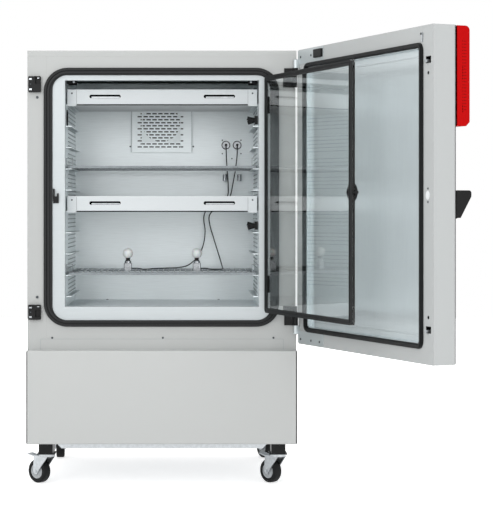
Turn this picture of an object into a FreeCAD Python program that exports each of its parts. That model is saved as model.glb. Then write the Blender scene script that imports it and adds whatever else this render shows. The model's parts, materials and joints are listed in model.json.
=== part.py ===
import FreeCAD, Part
import math
import os
from FreeCAD import Rotation, Vector

# Floor-standing laboratory incubator with a lit, fan-stirred chamber, a glass inner door, an insulated
# outer door and four casters. Millimetres, +Z up. It is laid out from the cabinet: X = 0 is the middle of
# the cabinet, Y = 0 its front face with +Y to the back, Z = 0 the floor. The door pieces are laid out
# closed and then swung open. The last section moves everything to the middle of the whole object's base.

X_AXIS = Vector(1, 0, 0)
Y_AXIS = Vector(0, 1, 0)
Z_AXIS = Vector(0, 0, 1)

# ---------------------------------------------------------------- driving dimensions
SHEET = 1.5
GAP = 0.3  # between pieces that move past each other
RUNNING = 0.05  # radial clearance of a pin in its bore

BODY_WIDTH = 900.0
BODY_DEPTH = 720.0
BODY_TOP = 1460.0
BODY_BOTTOM = 149.0
COVER_TOP = 459.0
COVER_DEPTH = 49.0
SIDE_FLANGE = 64.0
SERVICE_STRIP_TOP = 494.5
SERVICE_STRIP_WIDTH = 811.0

CHAMBER_WIDTH = 650.0
CHAMBER_FLOOR = 600.0
CHAMBER_CEILING = 1385.0
CHAMBER_FRONT = 32.0
BAFFLE_Y = 525.0
VESSEL_BACK = 575.0

SEAL_OUTER_WIDTH = 791.0
SEAL_INNER_WIDTH = 732.0
SEAL_BOTTOM = 536.0
SEAL_TOP = 1402.0
SEAL_INNER_BOTTOM = 558.0
SEAL_INNER_TOP = 1377.0
SEAL_CORNER = 80.0
SEAL_INNER_CORNER = 49.0
SEAL_HEIGHT = 10.0
FRAME_LAP = 12.0
OPENING_BOTTOM = 602.5
OPENING_TOP = 1360.0

RAIL_FIRST = 635.0
RAIL_PITCH = 72.0
RAIL_LEVELS = 10
RAIL_WIDTH = 18.0
RAIL_THICK = 3.0
RAIL_START = 62.0
RACK_BACK = 478.0

SHELF_WIDTH = 632.0
SHELF_FRONT = 55.0
SHELF_THICK = 8.0
SHELF_RODS = 31
ROD_RADIUS = 1.6
LOWER_SHELF_LEVEL = 1
UPPER_SHELF_LEVEL = 6
LOWER_CASSETTE_LEVEL = 4
UPPER_CASSETTE_LEVEL = 9

CASSETTE_WIDTH = 632.0
CASSETTE_PANEL_WIDTH = 641.0
CASSETTE_HEIGHT = 49.0
CASSETTE_TAB = 30.0
CASSETTE_TAB_DROP = 6.0
GRIP_LENGTH = 106.0
GRIP_HEIGHT = 12.0
GRIP_SPACING = 386.0
LAMPS = 5
LAMP_RADIUS = 8.0

PORT_Y = 95.0
PORT_Z = 1239.0
PORT_BORE = 25.0
PORT_WALL = 2.5

DOOR_WIDTH = 890.0
DOOR_THICK = 78.0
DOOR_GAP = 20.0
DOOR_BOTTOM = 480.0
DOOR_TOP = 1460.0
DOOR_EDGE_RADIUS = 12.0
DOOR_OPEN = 112.2
GLASS_OPEN = 109.7
DOOR_HINGE_X = 447.0
DOOR_HINGE_Y = -11.0
HINGE_BARREL = 8.0
HINGE_PIN = 4.0
UPPER_BRACKET = (1336.0, 1400.0)
LOWER_BRACKET = (541.0, 605.0)

DOOR_SEAL_X = (-387.0, 393.0)
DOOR_SEAL_Z = (523.0, 1412.0)
DOOR_SEAL_BAND = 15.0
DOOR_SEAL_CORNER = 25.0
PAN_DEPTH = 12.0
PAN_CORNER = 12.0

LATCH_X = -415.0
LATCH_SLOT = 30.0
HOOK_HEIGHT = 8.0
HOOK_WIDTH = 8.0
HOOK_TRAVEL = 8.0
HOOK_FOOTS = (573.0, 1351.0)
STRIKER_X = (-446.0, -404.0)
STRIKER_SPANS = ((560.0, 610.0), (1320.0, 1373.0))
STRIKER_DEPTH = 14.0

HOUSING_WIDTH = 230.0
HOUSING_DEPTH = 41.0
HOUSING_Z = (1168.0, 1458.0)
HOUSING_WALL = 2.5

HANDLE_X = (-440.0, -330.0)
HANDLE_TOP = 983.0
HANDLE_REACH = 50.0
HANDLE_PIN = 3.0

GLASS_X = (-343.0, 340.0)
GLASS_Z = (583.0, 1373.0)
GLASS_THICK = 6.0
GLASS_CORNER = 12.0
GLASS_SEAL = 6.0
GLASS_SEAL_BAND = 16.0
GLASS_HINGE_X = 347.0
GLASS_HINGE_Y = -7.0
GLASS_HINGE_SPANS = ((651.0, 707.0), (1249.0, 1304.0))
KNOB_X = -321.0
KNOB_Z = 979.0
KNOB_RADIUS = 27.0
KNOB_SHAFT = 4.0

GRILLE_X = (-119.0, 99.0)
GRILLE_Z = (1136.0, 1354.0)
FAN_X = -12.0
FAN_Z = 1244.0
FAN_HOLE = 69.0
FAN_RADIUS = 62.0
FAN_SHAFT = 5.0

SOCKET_X = (224.0, 265.0)
SOCKET_Z = 1163.0
SOCKET_RADIUS = 13.0
SENSOR_X = (-122.0, 117.0)
SENSOR_Y = 220.0
SENSOR_BASE = 28.0
SENSOR_BASE_HEIGHT = 35.0
GLOBE_RADIUS = 18.0
CORD_RADIUS = 2.0

CASTER_X = 391.0
CASTER_FRONT_Y = 75.0
CASTER_REAR_Y = 660.0
CASTER_HEIGHT = 105.0
WHEEL_RADIUS = 40.0
WHEEL_WIDTH = 32.0
HUB_RADIUS = 25.0
WHEEL_TRAIL = 35.0
AXLE_RADIUS = 5.0
KINGPIN = 6.0
CASTER_HEADINGS = {"front_left": 141.0, "front_right": 130.0, "rear_left": 92.0, "rear_right": 119.0}

# Routes of the two light-sensor leads, from the plug in the chamber's back wall to the sensor.
CORD_ROUTES = {
    "sensor_cord_left": [
        (224, 507, 1163), (224, 496, 1162.5), (224.3, 487.5, 1154), (224.6, 486.5, 1140),
        (225.5, 488, 1113), (228, 489, 1066), (232, 490, 1012), (229, 493, 976), (212, 497, 951),
        (178, 500, 941), (152, 500, 925), (143, 499, 897), (148, 497, 852), (144, 494, 812),
        (133, 489, 778), (113, 480, 748), (84, 467, 726), (52, 450, 719), (8, 415, 718.2),
        (-31, 370, 718.2), (-53, 322, 718.2), (-62, 276, 718.4), (-70, 243, 719.6), (-79, 226, 722.4),
        (-92, 220, 724), (-108, 220, 724),
    ],
    "sensor_cord_right": [
        (265, 507, 1163), (265, 496, 1162.5), (264.8, 487.5, 1154), (264.5, 486.5, 1140),
        (263, 485, 1113), (257, 484.5, 1068), (248, 484.5, 1018), (238, 485, 976), (215, 486, 947),
        (183, 486.5, 930), (163, 487, 905), (166, 486.5, 868), (178, 485.5, 827), (191, 480, 784),
        (202, 469, 749), (208, 451, 727), (210, 425, 719), (211, 385, 718.2), (207, 335, 718.2),
        (197, 286, 718.2), (180, 248, 718.6), (162, 229, 721.4), (147, 220, 724), (131, 220, 724),
    ],
}

pieces = {}
joint_places = {}


# ---------------------------------------------------------------- helpers
def span(first, second):
    """The two numbers in rising order."""
    return (min(first, second), max(first, second))


def box(x, y, z):
    """Block between a low and a high value on each axis."""
    return Part.makeBox(x[1] - x[0], y[1] - y[0], z[1] - z[0], Vector(x[0], y[0], z[0]))


def rod(start, end, radius):
    """Round bar from one point to another."""
    run = Vector(*end) - Vector(*start)
    return Part.makeCylinder(radius, run.Length, Vector(*start), run)


def fuse(shapes):
    """One solid from overlapping or touching shapes."""
    return shapes[0].multiFuse(shapes[1:]).removeSplitter()


def edges_along(shape, axis, keep=lambda point: True):
    """Straight edges parallel to an axis whose middle passes the test."""
    found = []
    for edge in shape.Edges:
        if len(edge.Vertexes) == 2 and edge.Curve.TypeId == "Part::GeomLine":
            run = edge.Vertexes[1].Point - edge.Vertexes[0].Point
            if run.cross(axis).Length < 1e-6 and keep(edge.CenterOfMass):
                found.append(edge)
    return found


def slab(x, y, z, radius):
    """Block whose four edges along Y are rounded."""
    block = box(x, y, z)
    return block.makeFillet(radius, edges_along(block, Y_AXIS))


def prism(x, outline):
    """Outline of (y, z) points carried along X between a low and a high value."""
    points = [Vector(x[0], y, z) for y, z in outline]
    face = Part.Face(Part.makePolygon(points + points[:1]))
    return face.extrude(Vector(x[1] - x[0], 0, 0))


def turned(shape, hinge, degrees):
    """Copy of a shape turned about a vertical line through hinge."""
    copy = shape.copy()
    copy.rotate(Vector(hinge[0], hinge[1], 0), Z_AXIS, degrees)
    return copy


def screw(centre, direction, radius=3.5, height=2.0):
    """Low round screw head standing on a face."""
    head = Part.makeCylinder(radius, height, Vector(*centre), direction)
    return head.makeFillet(height * 0.4, [head.Edges[0]])


# ---------------------------------------------------------------- outer casing
half_body = BODY_WIDTH / 2
half_chamber = CHAMBER_WIDTH / 2
body_z = (BODY_BOTTOM, BODY_TOP)
panel_z = (BODY_BOTTOM, BODY_TOP - SHEET)

top = box((-half_body, half_body), (0, BODY_DEPTH), (BODY_TOP - 20, BODY_TOP))
top = top.makeFillet(3, edges_along(top, X_AXIS, lambda p: p.z > BODY_TOP - 1 and p.y < 1))
top_room = box(
    (-half_body + SHEET, half_body - SHEET), (SHEET, BODY_DEPTH - SHEET),
    (BODY_TOP - 30, BODY_TOP - SHEET)
)
pieces["top_panel"] = top.cut(top_room)

skirt_z = (BODY_BOTTOM, BODY_TOP - 20)
port_hole = rod(
    (-half_body - 10, PORT_Y, PORT_Z), (-half_chamber + 30, PORT_Y, PORT_Z), PORT_BORE + PORT_WALL
)
left_side = fuse([
    box((-half_body, -half_body + SHEET), (0, BODY_DEPTH), skirt_z),
    box((-half_body, -half_body + SIDE_FLANGE), (0, SHEET), (COVER_TOP, skirt_z[1])),
])
pieces["left_side_panel"] = left_side.cut(port_hole)
pieces["right_side_panel"] = box((half_body - SHEET, half_body), (0, BODY_DEPTH), skirt_z)

seal_hole = slab(
    (-SEAL_INNER_WIDTH / 2, SEAL_INNER_WIDTH / 2),
    (-5, 20), (SEAL_INNER_BOTTOM, SEAL_INNER_TOP), SEAL_INNER_CORNER
)
front = box((-half_body + SIDE_FLANGE, half_body - SHEET), (0, SHEET), (COVER_TOP, skirt_z[1]))
pieces["front_frame"] = front.cut(seal_hole)

VENT_ROWS = 14
VENT_PITCH = 14.0
VENT_FIRST = 200.0
rear = box((-half_body + SHEET, half_body - SHEET), (BODY_DEPTH - SHEET, BODY_DEPTH), skirt_z)
INLET_X = (-330.0, -250.0)
INLET_Z = (400.0, 440.0)
rear_cuts = [box(INLET_X, (BODY_DEPTH - 10, BODY_DEPTH + 10), INLET_Z)]
for row in range(VENT_ROWS):
    z = VENT_FIRST + row * VENT_PITCH
    for x in (-150.0, 20.0):
        rear_cuts.append(box((x, x + 140), (BODY_DEPTH - 10, BODY_DEPTH + 10), (z, z + 5)))
pieces["rear_panel"] = rear.cut(rear_cuts)

half_strip = SERVICE_STRIP_WIDTH / 2
pieces["service_strip"] = box((-half_strip, half_strip), (-SHEET, 0), (COVER_TOP, SERVICE_STRIP_TOP))

cover = box((-half_body - 0.5, half_body + 0.5), (-COVER_DEPTH, 0), (BODY_BOTTOM, COVER_TOP))
cover = cover.makeFillet(9, edges_along(cover, Z_AXIS, lambda p: p.y < -1))
cover = cover.makeFillet(4, edges_along(cover, X_AXIS, lambda p: p.y < -1))
cover_room = box(
    (-half_body - 0.5 + SHEET, half_body + 0.5 - SHEET),
    (-COVER_DEPTH + SHEET, 10), (BODY_BOTTOM + SHEET, COVER_TOP - SHEET)
)
pieces["lower_front_cover"] = cover.cut(cover_room)

# floor of the machine space, with rails under it
RAIL_DROP = 24.0
FLOOR_THICK = 3.0
base = [
    box(
        (-half_body + SHEET, half_body - SHEET), (SHEET, BODY_DEPTH - SHEET),
        (BODY_BOTTOM, BODY_BOTTOM + FLOOR_THICK)
    )
]
for y in (30.0, BODY_DEPTH - 70):
    rail = box((-350, 350), (y, y + 40), (BODY_BOTTOM - RAIL_DROP, BODY_BOTTOM))
    base.append(rail.makeChamfer(12, edges_along(rail, Y_AXIS, lambda p: p.z < BODY_BOTTOM - 1)))
pieces["base_frame"] = fuse(base)

# ---------------------------------------------------------------- chamber
wall_y = (CHAMBER_FRONT, VESSEL_BACK)
chamber_z = (CHAMBER_FLOOR, CHAMBER_CEILING)
left_wall = box((-half_chamber - SHEET, -half_chamber), wall_y, chamber_z).cut(port_hole)
right_wall = box((half_chamber, half_chamber + SHEET), wall_y, chamber_z)
ceiling_front = 14.0
ceiling = fuse([
    box(
        (-half_chamber - SHEET, half_chamber + SHEET), (ceiling_front, VESSEL_BACK),
        (CHAMBER_CEILING, CHAMBER_CEILING + SHEET)
    ),
    box(
        (-half_chamber, half_chamber), (ceiling_front, ceiling_front + SHEET),
        (OPENING_TOP + SHEET, CHAMBER_CEILING)
    ),
])
floor = box(
    (-half_chamber - SHEET, half_chamber + SHEET), wall_y, (CHAMBER_FLOOR - SHEET, CHAMBER_FLOOR)
)
shaft_hole = rod((FAN_X, VESSEL_BACK - 20, FAN_Z), (FAN_X, VESSEL_BACK + 20, FAN_Z), FAN_SHAFT + 2)
back_wall = box(
    (-half_chamber - SHEET, half_chamber + SHEET), (VESSEL_BACK, VESSEL_BACK + SHEET), (
        CHAMBER_FLOOR - SHEET, CHAMBER_CEILING + SHEET
    )
).cut(shaft_hole)
pieces["chamber_shell"] = Part.makeCompound([left_wall, right_wall, ceiling, floor, back_wall])

baffle = box((-half_chamber, half_chamber), (BAFFLE_Y, BAFFLE_Y + SHEET), chamber_z)
fan_hole = rod((FAN_X, BAFFLE_Y - 20, FAN_Z), (FAN_X, BAFFLE_Y + 20, FAN_Z), FAN_HOLE)
pieces["air_baffle"] = baffle.cut(fan_hole)

# stainless strips between the body seal and the chamber opening
strip_y = (SHEET, 2 * SHEET)
strip_outer = SEAL_INNER_WIDTH / 2 + FRAME_LAP
strips = []
for side in (-1, 1):
    plate = box(
        span(side * half_chamber, side * strip_outer), strip_y,
        (SEAL_INNER_BOTTOM - FRAME_LAP, SEAL_INNER_TOP + FRAME_LAP)
    )
    corner_edges = edges_along(plate, Y_AXIS, lambda p: abs(p.x) > half_chamber + 1)
    plate = plate.makeFillet(SEAL_INNER_CORNER, corner_edges)
    lip = box(
        span(side * half_chamber, side * (half_chamber + SHEET)), (strip_y[1], CHAMBER_FRONT),
        (CHAMBER_FLOOR, OPENING_TOP)
    )
    strips.append(fuse([plate, lip]))
strips.append(fuse([
    box((-half_chamber, half_chamber), strip_y, (OPENING_TOP, SEAL_INNER_TOP + FRAME_LAP)),
    box((-half_chamber, half_chamber), (strip_y[1], ceiling_front), (OPENING_TOP, OPENING_TOP + SHEET)),
]))
strips.append(fuse([
    box((-half_chamber, half_chamber), strip_y, (SEAL_INNER_BOTTOM - FRAME_LAP, OPENING_BOTTOM)),
    box((-half_chamber, half_chamber), (strip_y[1], CHAMBER_FRONT), (OPENING_BOTTOM - SHEET, OPENING_BOTTOM)),
    box(
        (-half_chamber, half_chamber), (CHAMBER_FRONT - SHEET, CHAMBER_FRONT),
        (CHAMBER_FLOOR - SHEET, OPENING_BOTTOM)
    ),
]))
pieces["inner_frame"] = Part.makeCompound(strips)

rail_tops = [RAIL_FIRST + level * RAIL_PITCH for level in range(RAIL_LEVELS)]
rails = []
for side in (-1, 1):
    for rail_top in rail_tops:
        rail_x = span(side * (half_chamber - RAIL_WIDTH), side * half_chamber)
        rails.append(box(rail_x, (RAIL_START, RACK_BACK + 20), (rail_top - RAIL_THICK, rail_top)))
pieces["shelf_rails"] = Part.makeCompound(rails)

# body seal: a flat foot with two lips
seal_x = (-SEAL_OUTER_WIDTH / 2, SEAL_OUTER_WIDTH / 2)
seal_z = (SEAL_BOTTOM, SEAL_TOP)
seal_foot = slab(seal_x, (-3, 0), seal_z, SEAL_CORNER).cut(seal_hole)


def lip_ring(inset, width, y):
    """Raised ring that follows the seal's outline."""
    outer = slab(
        (seal_x[0] + inset, seal_x[1] - inset), y, (seal_z[0] + inset, seal_z[1] - inset),
        SEAL_CORNER - inset
    )
    inset += width
    room = (y[0] - 1, y[1] + 1)
    inner = slab(
        (seal_x[0] + inset, seal_x[1] - inset), room, (seal_z[0] + inset, seal_z[1] - inset),
        SEAL_CORNER - inset
    )
    return outer.cut(inner)


lip_y = (-SEAL_HEIGHT, -3)
pieces["body_gasket"] = fuse([seal_foot, lip_ring(3, 6, lip_y), lip_ring(13, 6, lip_y)])

sleeve = fuse([
    rod((-half_body - 4, PORT_Y, PORT_Z), (-half_chamber + 3, PORT_Y, PORT_Z), PORT_BORE + PORT_WALL),
    rod((-half_body - 4, PORT_Y, PORT_Z), (-half_body, PORT_Y, PORT_Z), PORT_BORE + 12),
])
sleeve_bore = rod((-half_body - 10, PORT_Y, PORT_Z), (-half_chamber + 10, PORT_Y, PORT_Z), PORT_BORE)
pieces["access_port"] = sleeve.cut(sleeve_bore)

# ---------------------------------------------------------------- insulation and machinery
INSULATION = 62.0
slab_left = -half_chamber - SHEET
insulation_z = (CHAMBER_FLOOR - SHEET, CHAMBER_CEILING + SHEET)
insulation = [
    box((slab_left - INSULATION, slab_left), (CHAMBER_FRONT, VESSEL_BACK), insulation_z).cut(port_hole),
    box((-slab_left, -slab_left + INSULATION), (CHAMBER_FRONT, VESSEL_BACK), insulation_z),
    box(
        (slab_left, -slab_left), (CHAMBER_FRONT, VESSEL_BACK),
        (insulation_z[1], insulation_z[1] + INSULATION)
    ),
    box(
        (slab_left, -slab_left), (CHAMBER_FRONT, VESSEL_BACK),
        (insulation_z[0] - INSULATION, insulation_z[0])
    ),
    box((slab_left, -slab_left), (VESSEL_BACK + SHEET, VESSEL_BACK + SHEET + INSULATION), insulation_z),
]
MOTOR_RADIUS = 45.0
MOTOR_LENGTH = 64.0
motor_y = (VESSEL_BACK + SHEET, VESSEL_BACK + SHEET + MOTOR_LENGTH)
motor_room = rod((FAN_X, motor_y[0] - 10, FAN_Z), (FAN_X, motor_y[1] + 40, FAN_Z), MOTOR_RADIUS + 3)
insulation[4] = insulation[4].cut(motor_room)
pieces["insulation"] = Part.makeCompound(insulation)

motor = rod((FAN_X, motor_y[0], FAN_Z), (FAN_X, motor_y[1], FAN_Z), MOTOR_RADIUS)
motor_bore = rod((FAN_X, motor_y[0] - 1, FAN_Z), (FAN_X, motor_y[0] + 30, FAN_Z), FAN_SHAFT + RUNNING)
pieces["fan_motor"] = motor.cut(motor_bore)

FAN_BLADES = 6
impeller_y = (BAFFLE_Y + 14, BAFFLE_Y + 34)
impeller = [
    rod((FAN_X, impeller_y[0], FAN_Z), (FAN_X, impeller_y[1], FAN_Z), 20),
    rod((FAN_X, impeller_y[0], FAN_Z), (FAN_X, motor_y[0] + 29, FAN_Z), FAN_SHAFT),
]
for number in range(FAN_BLADES):
    blade = box((-14, 14), (-1.2, 1.2), (15, FAN_RADIUS))
    blade.rotate(Vector(0, 0, 0), Z_AXIS, 28)
    blade.translate(Vector(0, sum(impeller_y) / 2, 0))
    blade.rotate(Vector(0, 0, 0), Y_AXIS, number * 360 / FAN_BLADES)
    blade.translate(Vector(FAN_X, 0, FAN_Z))
    impeller.append(blade)
pieces["fan_impeller"] = fuse(impeller)
joint_places["fan_spin"] = (FAN_X, impeller_y[0], FAN_Z)

coil = box((-150, 150), (VESSEL_BACK - 38, VESSEL_BACK), (700, 1020))
heater = [Part.makeTorus(FAN_RADIUS + 14, 4, Vector(FAN_X, VESSEL_BACK - 20, FAN_Z), Y_AXIS)]
for degrees in (45, 135, 225, 315):
    x = FAN_X + (FAN_RADIUS + 14) * math.cos(math.radians(degrees))
    z = FAN_Z + (FAN_RADIUS + 14) * math.sin(math.radians(degrees))
    heater.append(rod((x, VESSEL_BACK - 20, z), (x, VESSEL_BACK, z), 3))
pieces["heat_exchanger"] = Part.makeCompound([coil, fuse(heater)])

machine_floor = BODY_BOTTOM + FLOOR_THICK
compressor = Part.makeCylinder(78, 170, Vector(180, 500, machine_floor + 20))
compressor = compressor.makeFillet(40, [compressor.Edges[0], compressor.Edges[2]])
feet = [
    rod((180 + 50 * i, 500 + 50 * j, machine_floor), (180 + 50 * i, 500 + 50 * j, machine_floor + 60), 9)
    for i in (-1, 1) for j in (-1, 1)
]
pieces["compressor"] = fuse([compressor] + feet)

condenser = [box((-150, 130), (BODY_DEPTH - 75, BODY_DEPTH - 71), (machine_floor, 400))]
for number in range(9):
    z = machine_floor + 25 + number * 26
    condenser.append(box((-150, 130), (BODY_DEPTH - 76, BODY_DEPTH - 20), (z, z + 5)))
pieces["condenser"] = fuse(condenser)

inlet = box(
    (INLET_X[0] - 6, INLET_X[1] + 6), (BODY_DEPTH, BODY_DEPTH + 3), (INLET_Z[0] - 6, INLET_Z[1] + 6)
)
inlet_body = box(
    (INLET_X[0] + 0.5, INLET_X[1] - 0.5), (BODY_DEPTH - 30, BODY_DEPTH),
    (INLET_Z[0] + 0.5, INLET_Z[1] - 0.5)
)
plug_room = box(
    (INLET_X[0] + 6, INLET_X[0] + 34), (BODY_DEPTH - 24, BODY_DEPTH + 10),
    (INLET_Z[0] + 10, INLET_Z[1] - 10)
)
rocker_x = (INLET_X[1] - 28, INLET_X[1] - 12)
rocker_room = box(
    (rocker_x[0] - 1, rocker_x[1] + 1), (BODY_DEPTH - 16, BODY_DEPTH + 10),
    (INLET_Z[0] + 4, INLET_Z[1] - 4)
)
rocker_z = (INLET_Z[0] + 7.5, INLET_Z[1] - 7.5)
rocker_pin_y = BODY_DEPTH - 6
rocker_pin = (sum(rocker_x) / 2, rocker_pin_y, sum(rocker_z) / 2)
pin_bore = rod(
    (rocker_x[0] - 4, rocker_pin_y, rocker_pin[2]), (rocker_x[1] + 4, rocker_pin_y, rocker_pin[2]),
    2 + RUNNING
)
pieces["power_inlet"] = fuse([inlet, inlet_body]).cut([plug_room, rocker_room, pin_bore])
rocker = prism(rocker_x, [
    (BODY_DEPTH - 10, rocker_z[0] + 1),
    (BODY_DEPTH + 2, rocker_z[0]), (BODY_DEPTH + 4.2, rocker_pin[2]),
    (BODY_DEPTH + 6, rocker_z[1]), (BODY_DEPTH - 10, rocker_z[1] - 1),
])
pieces["power_switch"] = fuse([
    rocker,
    rod(
        (rocker_x[0] - 3, rocker_pin_y, rocker_pin[2]),
        (rocker_x[1] + 3, rocker_pin_y, rocker_pin[2]), 2
    ),
])
joint_places["power_switch_rock"] = rocker_pin

# ---------------------------------------------------------------- fan grille and sensor sockets
GRILLE_DEPTH = 12.0
SLIT_LENGTH = 16.0
SLIT_HEIGHT = 4.5
SLIT_PITCH_X = 21.5
SLIT_PITCH_Z = 11.0
grille_y = (BAFFLE_Y - GRILLE_DEPTH, BAFFLE_Y)
grille = box(GRILLE_X, grille_y, GRILLE_Z)
grille_room = box(
    (GRILLE_X[0] + SHEET, GRILLE_X[1] - SHEET),
    (grille_y[0] + SHEET, grille_y[1] + 1), (GRILLE_Z[0] + SHEET, GRILLE_Z[1] - SHEET)
)
slits = []
slit_rows = int((GRILLE_Z[1] - GRILLE_Z[0] - 36) / SLIT_PITCH_Z)
for row in range(slit_rows + 1):
    z = GRILLE_Z[0] + 18 + row * SLIT_PITCH_Z
    start = GRILLE_X[0] + 21 + (row % 2) * SLIT_PITCH_X / 2
    x = start
    while x + SLIT_LENGTH < GRILLE_X[1] - 20:
        slits.append(
            box((x, x + SLIT_LENGTH), (grille_y[0] - 1, grille_y[0] + 3), (z, z + SLIT_HEIGHT))
        )
        x += SLIT_PITCH_X
pieces["fan_grille"] = grille.cut(grille_room).cut(slits)

sockets = []
CAP_TOP = 1056.0
for socket_x, cap_x in zip(SOCKET_X, (220.0, 273.0)):
    sockets.append(fuse([
        rod((socket_x, BAFFLE_Y, SOCKET_Z), (socket_x, BAFFLE_Y - 6, SOCKET_Z), SOCKET_RADIUS),
        rod((socket_x, BAFFLE_Y - 6, SOCKET_Z), (socket_x, BAFFLE_Y - 18, SOCKET_Z), SOCKET_RADIUS - 5),
    ]))
    sockets.append(fuse([
        rod((cap_x, BAFFLE_Y - 10, CAP_TOP - 24), (cap_x, BAFFLE_Y - 10, CAP_TOP), 8),
        rod((cap_x, BAFFLE_Y - 10, CAP_TOP - 8), (cap_x, BAFFLE_Y, CAP_TOP - 8), 2),
    ]))
pieces["sensor_sockets"] = Part.makeCompound(sockets)

# ---------------------------------------------------------------- shelves and light cassettes
half_shelf = SHELF_WIDTH / 2


def shelf(level):
    """Wire shelf that lies on the rails of one level."""
    bottom = rail_tops[level] + GAP
    shelf_top = bottom + SHELF_THICK
    frame = [
        box((-half_shelf, half_shelf), (y, y + SHELF_THICK), (bottom, shelf_top))
        for y in (SHELF_FRONT, RACK_BACK - SHELF_THICK)
    ]
    for side in (-1, 1):
        side_x = span(side * half_shelf, side * (half_shelf - SHELF_THICK))
        frame.append(box(side_x, (SHELF_FRONT, RACK_BACK), (bottom, shelf_top)))
    wire_z = shelf_top - ROD_RADIUS
    pitch = (SHELF_WIDTH - SHELF_THICK) / (SHELF_RODS + 1)
    for number in range(SHELF_RODS):
        x = -half_shelf + SHELF_THICK / 2 + pitch * (number + 1)
        frame.append(rod((x, SHELF_FRONT + 2, wire_z), (x, RACK_BACK - 2, wire_z), ROD_RADIUS))
    for y in (SHELF_FRONT + 140, SHELF_FRONT + 290):
        frame.append(
            rod((-half_shelf + 2, y, wire_z - 2.5), (half_shelf - 2, y, wire_z - 2.5), ROD_RADIUS)
        )
    return fuse(frame)


pieces["lower_shelf"] = shelf(LOWER_SHELF_LEVEL)
pieces["upper_shelf"] = shelf(UPPER_SHELF_LEVEL)
joint_places["upper_shelf_slide"] = (0, SHELF_FRONT, rail_tops[UPPER_SHELF_LEVEL])

# bent clips above the front ends of each shelf
stops = []
for level in (LOWER_SHELF_LEVEL, UPPER_SHELF_LEVEL):
    stop_z = (rail_tops[level] + SHELF_THICK + 2, rail_tops[level] + SHELF_THICK + 28)
    for side in (-1, 1):
        stop = box(
            span(side * half_chamber, side * (half_chamber - 22)), (RAIL_START, RAIL_START + 22),
            stop_z
        )
        room = box(
            span(
                side * (half_chamber - SHEET), side * (half_chamber - 22 + SHEET)
            ), (RAIL_START - 1, RAIL_START + 30), (stop_z[0] + SHEET, stop_z[1] - SHEET)
        )
        stops.append(stop.cut(room))
pieces["shelf_stops"] = Part.makeCompound(stops)


def cassette(level):
    """Lamp cassette on the rails of one level: tray, front panel with two grips, grid and tubes."""
    bottom = rail_tops[level] + GAP
    tray_z = (bottom, bottom + CASSETTE_HEIGHT)
    half = CASSETTE_WIDTH / 2
    tray = box((-half, half), (SHELF_FRONT, RACK_BACK), tray_z)
    room = box(
        (-half + SHEET, half - SHEET), (SHELF_FRONT + SHEET, RACK_BACK - SHEET),
        (tray_z[0] - 1, tray_z[1] - SHEET)
    )
    half_panel = CASSETTE_PANEL_WIDTH / 2
    panel = box(
        (-half_panel, half_panel), (SHELF_FRONT - SHEET, SHELF_FRONT), (bottom + 1, tray_z[1] + 1)
    )
    tabs = []
    for side in (-1, 1):
        tab_x = span(side * half_panel, side * (half_panel - CASSETTE_TAB))
        tabs.append(
            box(tab_x, (SHELF_FRONT - SHEET, SHELF_FRONT), (bottom - CASSETTE_TAB_DROP, bottom + 1))
        )
    grips = []
    grip_z = bottom + CASSETTE_HEIGHT / 2 + 2
    for side in (-1, 1):
        grip_x = side * GRIP_SPACING / 2
        grips.append(slab(
            (grip_x - GRIP_LENGTH / 2, grip_x + GRIP_LENGTH / 2), (SHELF_FRONT - 5, SHELF_FRONT + 5),
            (grip_z - GRIP_HEIGHT / 2, grip_z + GRIP_HEIGHT / 2), GRIP_HEIGHT / 2 - 0.1
        ))
    housing = fuse([tray.cut(room), panel] + tabs).cut(grips)
    louvre = box(
        (-half + SHEET, half - SHEET), (SHELF_FRONT + SHEET, RACK_BACK - SHEET),
        (bottom, bottom + SHEET)
    )
    louvre_cuts = []
    for number in range(20):
        y = SHELF_FRONT + 20 + number * 20
        louvre_cuts.append(box((-half + 14, half - 14), (y, y + 12), (bottom - 1, bottom + 3)))
    tubes = []
    lamp_pitch = (RACK_BACK - SHELF_FRONT - 100) / (LAMPS - 1)
    for number in range(LAMPS):
        y = SHELF_FRONT + 50 + number * lamp_pitch
        tubes.append(rod((-half + SHEET, y, bottom + 16), (half - SHEET, y, bottom + 16), LAMP_RADIUS))
    return Part.makeCompound([fuse([housing, louvre.cut(louvre_cuts)])] + tubes)


pieces["lower_light_cassette"] = cassette(LOWER_CASSETTE_LEVEL)
pieces["upper_light_cassette"] = cassette(UPPER_CASSETTE_LEVEL)
for name, level in (("lower", LOWER_CASSETTE_LEVEL), ("upper", UPPER_CASSETTE_LEVEL)):
    joint_places[name + "_cassette_slide"] = (0, SHELF_FRONT, rail_tops[level])

# socket on the right wall under each cassette, with two ribbed plug bodies
connectors = []
for level in (LOWER_CASSETTE_LEVEL, UPPER_CASSETTE_LEVEL):
    z = rail_tops[level] - 50
    connectors.append(fuse([
        box((half_chamber - 10, half_chamber), (105, 145), (z - 14, z + 14)),
        rod((half_chamber - 8, 125, z), (half_chamber - 36, 125, z + 7), 7),
        rod((half_chamber - 8, 125, z), (half_chamber - 34, 125, z - 9), 7),
    ]))
pieces["lamp_connectors"] = Part.makeCompound(connectors)

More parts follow.
